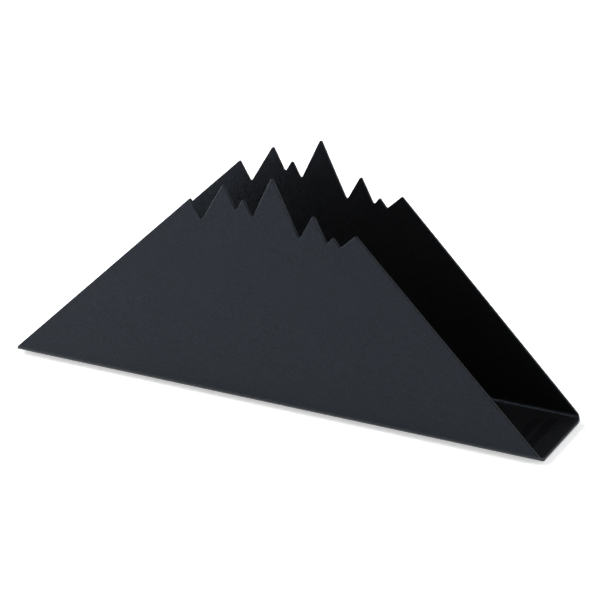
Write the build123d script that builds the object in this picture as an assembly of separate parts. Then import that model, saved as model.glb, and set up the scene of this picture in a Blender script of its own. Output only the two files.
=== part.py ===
"""Mountain-silhouette napkin holder: one folded steel sheet on four stick-on feet.

The sheet is laser cut, folded twice into a U and powder coated. Its two walls carry the
same mountain outline and lean slightly outwards; the strip between them is the tray.
Row frame: +X along the tray, +Y towards the rear wall, +Z up, millimetres. The origin is
on the table, under the middle of the tray.
"""

import os
from math import cos, radians, sin, tan

from build123d import *

# Driving dimensions of the folded sheet
LENGTH = 220.0  # tray length, end to end
DEPTH = 40.0  # outside width of the tray, across the two folds
SHEET = 1.2  # sheet thickness with its coating
FOLD_OUTER = 2.8  # outside radius of each fold
WALL_LEAN = 0.86  # degrees each wall opens past upright
TIP_RADIUS = 0.6  # peaks
NOTCH_RADIUS = 0.65  # valleys
CORNER_RADIUS = 8.5  # of the blank, where a slope runs into the end of the tray
EDGE_ROUND = 0.24  # rounding of the rims of the laser-cut edge under the coating

# Driving dimensions of the stick-on feet
FOOT_DIAMETER = 10.0
FOOT_HEIGHT = 1.4
FOOT_DRAFT = 0.5  # how much narrower the sole is, per side
FOOT_SOLE_ROUND = 0.35
GLUE_DIAMETER = 9.2
GLUE_THICKNESS = 0.15
FOOT_INSET_X = 22.0  # foot centre from the end of the tray
FOOT_INSET_Y = 9.5  # foot centre from the outside of a wall

# Engraved grip bars on the tray floor, two plain rows
BAR_WIDTH = 0.6
BAR_DEPTH = 0.2
BAR_PITCH = 1.5
BAR_ROWS = ((101.0, 3.4, 19), (95.6, 3.4, 15))  # row centre X, bar length, bar count

FLOOR_UNDERSIDE = FOOT_HEIGHT + GLUE_THICKNESS
FOLD_MIDDLE = FOLD_OUTER * (1 - cos(radians(45)))  # how far half-way round a fold is from both its sides

# Mountain outline of both walls, seen from the front: distance from the tray's left end
# and height above the underside of the tray. The first and last points are the corners
# where the slopes run into the ends of the tray.
LEFT_CORNER = (0.0, FOLD_MIDDLE)
RIDGE = (
    (77.95, 78.8),  # left shoulder
    (82.75, 70.8),
    (91.85, 87.0),  # second peak
    (97.05, 77.3),
    (99.95, 82.6),
    (103.75, 75.6),
    (111.65, 93.2),  # summit
    (122.75, 70.6),
    (128.35, 81.3),
    (133.85, 70.7),
    (136.15, 74.0),
    (139.15, 70.2),
    (145.25, 76.1),  # right shoulder
)
RIGHT_CORNER = (LENGTH, FOLD_MIDDLE)


def channel():
    """The folded sheet before its outline is cut: a U of constant section along X."""
    top = max(z for _, z in RIDGE) + 5.0
    spread = top * tan(radians(WALL_LEAN))
    outside = FilletPolyline(
        (-DEPTH / 2 - spread, top),
        (-DEPTH / 2, 0),
        (DEPTH / 2, 0),
        (DEPTH / 2 + spread, top),
        radius=FOLD_OUTER,
    )
    inner_half = DEPTH / 2 - SHEET / cos(radians(WALL_LEAN)) + SHEET * tan(radians(WALL_LEAN))
    inner_top = inner_half + (top - SHEET) * tan(radians(WALL_LEAN))
    inside = FilletPolyline(
        (-inner_top, top),
        (-inner_half, SHEET),
        (inner_half, SHEET),
        (inner_top, top),
        radius=FOLD_OUTER - SHEET,
    )
    rims = [Line(outside @ end, inside @ end) for end in (0, 1)]
    section = make_face(Wire([*outside.edges(), rims[1], *inside.edges(), rims[0]]))
    return extrude(Plane.YZ * section, amount=LENGTH / 2, both=True)


def mountain():
    """The front view of the holder as a thick slab, its peaks and notches rounded."""
    below = -5.0
    outline = [
        (LEFT_CORNER[0], below),
        LEFT_CORNER,
        *RIDGE,
        RIGHT_CORNER,
        (RIGHT_CORNER[0], below),
    ]
    face = make_face(Polyline(*outline, close=True))

    def rounded(face, points, radius):
        corners = [
            min(face.vertices(), key=lambda v: abs(v.X - x) + abs(v.Y - z)) for x, z in points
        ]
        return fillet(corners, radius)

    # The ridge starts and ends on a peak, so peaks and notches alternate.
    face = rounded(face, RIDGE[0::2], TIP_RADIUS)
    face = rounded(face, RIDGE[1::2], NOTCH_RADIUS)
    slab = extrude(Plane.XZ * face, amount=DEPTH, both=True)
    return Pos(X=-LENGTH / 2) * slab


def corner_cutters():
    """Tools that round the four corners of the blank, each square on to its fold.

    Seen along the middle of a fold, the tray's end runs down from the corner and the slope
    runs up and away from it. A tool is a window less that rounded shape, pushed through.
    """
    reach = 9.0
    slope = radians(46)
    kept = make_face(
        Polyline(
            (0, -2 * reach),
            (0, 0),
            (-2 * reach * cos(slope), 2 * reach * sin(slope)),
            (-2 * reach, -2 * reach),
            close=True,
        )
    )
    corner = min(kept.vertices(), key=lambda v: abs(v.X) + abs(v.Y))
    window = Rectangle(reach, reach) - fillet(corner, CORNER_RADIUS)
    fold = Plane(
        origin=(LENGTH / 2, FOLD_MIDDLE - DEPTH / 2, FOLD_MIDDLE), x_dir=(1, 0, 0), z_dir=(0, -1, -1)
    )
    tool = extrude(fold * window, amount=2 * SHEET, both=True)
    pair = [tool, mirror(tool, Plane.XZ)]
    return pair + [mirror(cutter, Plane.YZ) for cutter in pair]


def grip_bars():
    """Shallow bars to engrave in the tray floor, each row centred across the tray."""
    bars = []
    for row_x, bar_length, count in BAR_ROWS:
        for i in range(count):
            y = (i - (count - 1) / 2) * BAR_PITCH
            bars.append(Pos(row_x, y, SHEET) * Box(bar_length, BAR_WIDTH, 2 * BAR_DEPTH))
    return bars


def is_skin(face):
    """Whether a face is rolled sheet surface, flat or folded, and not part of the cut edge."""
    if face.geom_type == GeomType.CYLINDER:
        return abs(face.axis_of_rotation.direction.X) > 0.999
    normal = face.normal_at(face.center())
    return abs(normal.X) < 0.001 and max(abs(normal.Y), abs(normal.Z)) > 0.99


def rims(sheet):
    """The edges between the sheet's skins and its cut edge, which only one skin has."""
    edges = [edge for face in sheet.faces() if is_skin(face) for edge in face.edges()]
    return [edge for edge in edges if sum(edge.is_same(other) for other in edges) == 1]


def folded_sheet():
    sheet = channel() & mountain()
    sheet = fillet(rims(sheet), EDGE_ROUND)
    sheet -= corner_cutters()
    sheet -= grip_bars()
    return Pos(Z=FLOOR_UNDERSIDE) * sheet


def foot():
    """Moulded rubber foot, sole on the table, slightly narrower than its glued top."""
    top = FOOT_DIAMETER / 2
    sole = top - FOOT_DRAFT
    half_section = make_face(
        Polyline((0, 0), (sole, 0), (top, FOOT_HEIGHT), (0, FOOT_HEIGHT), close=True)
    )
    rim = min(half_section.vertices(), key=lambda v: abs(v.X - sole) + abs(v.Y))
    half_section = fillet(rim, FOOT_SOLE_ROUND)
    return revolve(Plane.XZ * half_section, Axis.Z, 360)


def glue_disc():
    """Disc of transfer tape between a foot and the underside of the tray."""
    disc = Cylinder(
        GLUE_DIAMETER / 2, GLUE_THICKNESS, align=(Align.CENTER, Align.CENTER, Align.MIN)
    )
    return Pos(Z=FOOT_HEIGHT) * disc


def foot_places():
    """Name and centre of each foot, one near each corner of the tray."""
    x = LENGTH / 2 - FOOT_INSET_X
    y = DEPTH / 2 - FOOT_INSET_Y
    for end, sx in (("left", -1), ("right", 1)):
        for side, sy in (("front", -1), ("rear", 1)):
            yield f"{side}_{end}", sx * x, sy * y


def main():
    os.makedirs("parts", exist_ok=True)
    export_step(folded_sheet(), "parts/folded_sheet.step")
    for place, x, y in foot_places():
        export_step(Pos(x, y) * foot(), f"parts/foot_{place}.step")
        export_step(Pos(x, y) * glue_disc(), f"parts/foot_glue_{place}.step")


main()
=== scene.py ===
"""Looks of the mountain-silhouette napkin dispenser: powder coat, rubber feet and a pale studio.

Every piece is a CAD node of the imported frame, so this file holds materials, light and camera.
Metres throughout, in the CAD's own frame: +X along the tray, +Y towards the rear wall, +Z up.
"""

from math import cos, radians, sin

import bpy
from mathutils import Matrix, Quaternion, Vector

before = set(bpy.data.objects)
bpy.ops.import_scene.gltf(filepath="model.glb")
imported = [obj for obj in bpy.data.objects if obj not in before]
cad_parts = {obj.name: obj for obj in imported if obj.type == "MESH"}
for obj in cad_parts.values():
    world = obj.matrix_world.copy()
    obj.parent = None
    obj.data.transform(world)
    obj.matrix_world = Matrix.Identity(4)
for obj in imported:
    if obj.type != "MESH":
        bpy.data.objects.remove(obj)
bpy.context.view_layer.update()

# Camera: where it aims, how far away it stands and from which side
AIM = Vector((0.0021, 0.002, 0.0364))
AZIMUTH = 25.66  # degrees round from the front, towards the right end
ELEVATION = 24.52
ROLL = 0.09
DISTANCE = 1.2936
LENS_MM = 206.6
SENSOR_MM = 36.0

FLOOR_SIDE = 6.0


def from_side(azimuth, elevation):
    """Unit vector towards a viewer at that azimuth and elevation, in degrees."""
    a, e = radians(azimuth), radians(elevation)
    return Vector((sin(a) * cos(e), -cos(a) * cos(e), sin(e)))


def point_at(obj, target, roll=0.0):
    """Turns a camera or light to face a point, then by roll degrees about its own axis."""
    facing = (target - obj.location).to_track_quat("-Z", "Y")
    obj.rotation_euler = (facing @ Quaternion((0, 0, 1), radians(roll))).to_euler()


def add_camera():
    data = bpy.data.cameras.new("camera")
    data.lens = LENS_MM
    data.sensor_width = SENSOR_MM
    camera = bpy.data.objects.new("camera", data)
    camera.location = AIM + DISTANCE * from_side(AZIMUTH, ELEVATION)
    point_at(camera, AIM, ROLL)
    bpy.context.scene.collection.objects.link(camera)
    bpy.context.scene.camera = camera


class Graph:
    """A material's node tree, with a short way to add and join nodes."""

    def __init__(self, name):
        self.material = bpy.data.materials.new(name)
        self.material.use_nodes = True
        self.tree = self.material.node_tree
        self.shader = self.tree.nodes["Principled BSDF"]
        coordinates = self.tree.nodes.new("ShaderNodeTexCoord")
        self.place = coordinates.outputs["Object"]

    def add(self, kind, **values):
        """A node with its inputs set by name, an underscore standing for a space."""
        node = self.tree.nodes.new("ShaderNode" + kind)
        for name, value in values.items():
            node.inputs[name.replace("_", " ")].default_value = value
        return node

    def join(self, output, node, name):
        self.tree.links.new(output, node.inputs[name])

    def noise(self, scale, detail=2.0, roughness=0.5):
        node = self.add("TexNoise", Scale=scale, Detail=detail, Roughness=roughness)
        self.join(self.place, node, "Vector")
        return node.outputs["Fac"]

    def spread(self, value, low, high):
        """Maps the middle of a noise texture's range onto low to high."""
        node = self.add("MapRange", From_Min=0.3, From_Max=0.7, To_Min=low, To_Max=high)
        self.join(value, node, "Value")
        return node.outputs["Result"]

    def mix(self, value, first, second):
        """A colour between two, as value goes from 0 to 1."""
        node = self.tree.nodes.new("ShaderNodeMix")
        node.data_type = "RGBA"
        node.inputs["A"].default_value = (*first, 1.0)
        node.inputs["B"].default_value = (*second, 1.0)
        self.join(value, node, "Factor")
        return node.outputs["Result"]

    def bump(self, height, distance, strength=1.0, under=None):
        node = self.add("Bump", Strength=strength, Distance=distance)
        self.join(height, node, "Height")
        if under is not None:
            self.join(under, node, "Normal")
        return node.outputs["Normal"]


def powder_coat():
    """Fine matte powder coat: sprayed grains over a faint orange peel, slate black.

    The coat is nearly black in itself. Its slate tone is the pale floor in its bluish sheen.
    """
    g = Graph("powder_coat_fine")
    tone = g.spread(g.noise(60.0, detail=3.0), 0.0, 1.0)
    g.join(g.mix(tone, (0.0034, 0.0032, 0.0034), (0.0042, 0.0040, 0.0042)), g.shader, "Base Color")
    grain = g.noise(1300.0, detail=3.0, roughness=0.65)
    g.join(g.spread(grain, 0.30, 0.38), g.shader, "Roughness")
    peel = g.bump(g.noise(420.0), 0.0001, 0.8)
    g.join(g.bump(grain, 0.00016, 1.0, under=peel), g.shader, "Normal")
    g.shader.inputs["IOR"].default_value = 1.5
    g.join(g.spread(grain, 0.185, 0.28), g.shader, "Specular IOR Level")
    g.shader.inputs["Specular Tint"].default_value = (0.61, 0.77, 1.0, 1.0)
    return g.material


def foot_rubber():
    """Moulded rubber with a dull, slightly dusty skin."""
    g = Graph("foot_rubber_moulded")
    dust = g.spread(g.noise(900.0, detail=4.0), 0.0, 1.0)
    g.join(g.mix(dust, (0.012, 0.012, 0.012), (0.022, 0.021, 0.020)), g.shader, "Base Color")
    g.join(g.spread(g.noise(1500.0), 0.62, 0.8), g.shader, "Roughness")
    g.join(g.bump(g.noise(3000.0), 0.00003), g.shader, "Normal")
    return g.material


def glue_film():
    """Transfer tape, milky and faintly mottled."""
    g = Graph("glue_film_milky")
    mottle = g.spread(g.noise(1200.0, detail=3.0), 0.0, 1.0)
    g.join(g.mix(mottle, (0.55, 0.55, 0.52), (0.68, 0.68, 0.65)), g.shader, "Base Color")
    g.join(g.spread(g.noise(2000.0), 0.3, 0.45), g.shader, "Roughness")
    return g.material


def paint(material, nodes):
    """Gives CAD nodes a material in place of the plain one they were packed with."""
    for name in nodes:
        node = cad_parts[name]
        node.material_slots[0].material = material


def add_floor():
    """Pale floor, level with the soles of the feet, faintly glowing like a photo table."""
    half = FLOOR_SIDE / 2
    corners = [(-half, -half, 0), (half, -half, 0), (half, half, 0), (-half, half, 0)]
    mesh = bpy.data.meshes.new("floor")
    mesh.from_pydata(corners, [], [(0, 1, 2, 3)])
    floor = bpy.data.objects.new("floor", mesh)
    g = Graph("floor_pale")
    g.shader.inputs["Base Color"].default_value = (0.86, 0.87, 0.88, 1.0)
    g.shader.inputs["Roughness"].default_value = 0.8
    g.shader.inputs["Emission Color"].default_value = (1.0, 1.0, 1.0, 1.0)
    g.shader.inputs["Emission Strength"].default_value = 0.48
    mesh.materials.append(g.material)
    bpy.context.scene.collection.objects.link(floor)


def add_softbox(name, azimuth, elevation, distance, side, watts):
    """A square area light that faces the dispenser. Angles in degrees, lengths in metres."""
    data = bpy.data.lights.new(name, "AREA")
    data.shape = "SQUARE"
    data.size = side
    data.energy = watts
    light = bpy.data.objects.new(name, data)
    light.location = AIM + distance * from_side(azimuth, elevation)
    point_at(light, AIM)
    bpy.context.scene.collection.objects.link(light)


def add_world():
    """Dim air round the studio, and a pale backdrop behind everything that the camera sees."""
    world = bpy.data.worlds.new("studio_air")
    world.use_nodes = True
    tree = world.node_tree
    air = tree.nodes["Background"]
    air.inputs["Color"].default_value = (0.9, 0.95, 1.0, 1.0)
    air.inputs["Strength"].default_value = 0.05
    backdrop = tree.nodes.new("ShaderNodeBackground")
    backdrop.inputs["Color"].default_value = (0.9, 0.91, 0.92, 1.0)
    choice = tree.nodes.new("ShaderNodeMixShader")
    rays = tree.nodes.new("ShaderNodeLightPath")
    tree.links.new(rays.outputs["Is Camera Ray"], choice.inputs[0])
    tree.links.new(air.outputs[0], choice.inputs[1])
    tree.links.new(backdrop.outputs[0], choice.inputs[2])
    tree.links.new(choice.outputs[0], tree.nodes["World Output"].inputs["Surface"])
    bpy.context.scene.world = world


def add_light():
    """Soft white light, most of it from the left, with little from behind."""
    add_world()
    add_softbox("window_left", -85, 32, 0.9, 0.8, 7.5)
    add_softbox("low_front_left", -60, 10, 1.0, 0.8, 9.0)
    add_softbox("key_high_left", -70, 45, 1.2, 0.8, 9.0)
    add_softbox("fill_front", 0, 25, 1.4, 0.9, 0.5)
    add_softbox("low_right", 97, 9, 0.9, 0.5, 5.0)
    add_softbox("high_right", 115, 55, 1.2, 0.8, 2.8)
    add_softbox("rim_rear_right", 150, 22, 1.0, 0.6, 1.0)
    add_softbox("rim_rear", 180, 40, 1.2, 0.8, 0.3)
    bpy.context.scene.view_settings.view_transform = "Standard"


add_camera()
add_floor()
add_light()
names = sorted(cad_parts)
paint(powder_coat(), ["folded_sheet"])
paint(foot_rubber(), [n for n in names if n.startswith("foot_") and "glue" not in n])
paint(glue_film(), [n for n in names if "glue" in n])
